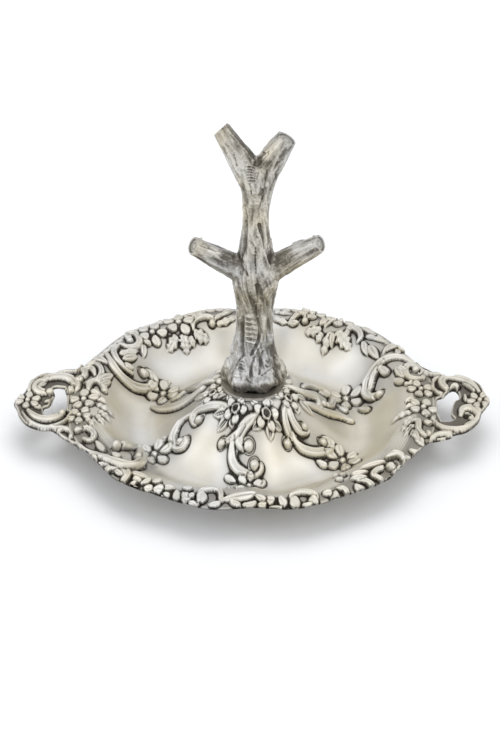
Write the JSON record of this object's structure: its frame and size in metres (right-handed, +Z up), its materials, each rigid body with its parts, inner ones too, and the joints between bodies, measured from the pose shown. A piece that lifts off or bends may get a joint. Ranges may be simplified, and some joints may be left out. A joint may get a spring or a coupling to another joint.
{
  "type": "ring tree",
  "caption": "Silver ring tree: a hollow cast tree with four sawn branches on the domed middle of a stamped oval tray with pierced scroll handles.",
  "frame": {"origin": "on the table, under the middle of the tray (bottom centre of the bounding box)", "axes": "+X through the right handle, +Y away from the viewer of the picture, +Z up the tree"},
  "size_m": [0.1042, 0.0752, 0.0779],
  "materials": {
    "silver": "polished sterling silver with dark oxide left in the recesses of the ornament",
    "bark_silver": "cast sterling silver bark, bright on its ridges and oxidised in its hollows",
    "silver_solder": "silver solder, duller and greyer than the sheet"
  },
  "bodies": {
    "root": {"tray": "silver", "foot_solder_ring": "silver_solder", "tree_front_half": "bark_silver", "tree_back_half": "bark_silver", "upper_left_branch_end": "silver", "upper_right_branch_end": "silver", "lower_left_branch_end": "silver", "lower_right_branch_end": "silver"}
  },
  "joints": []
}
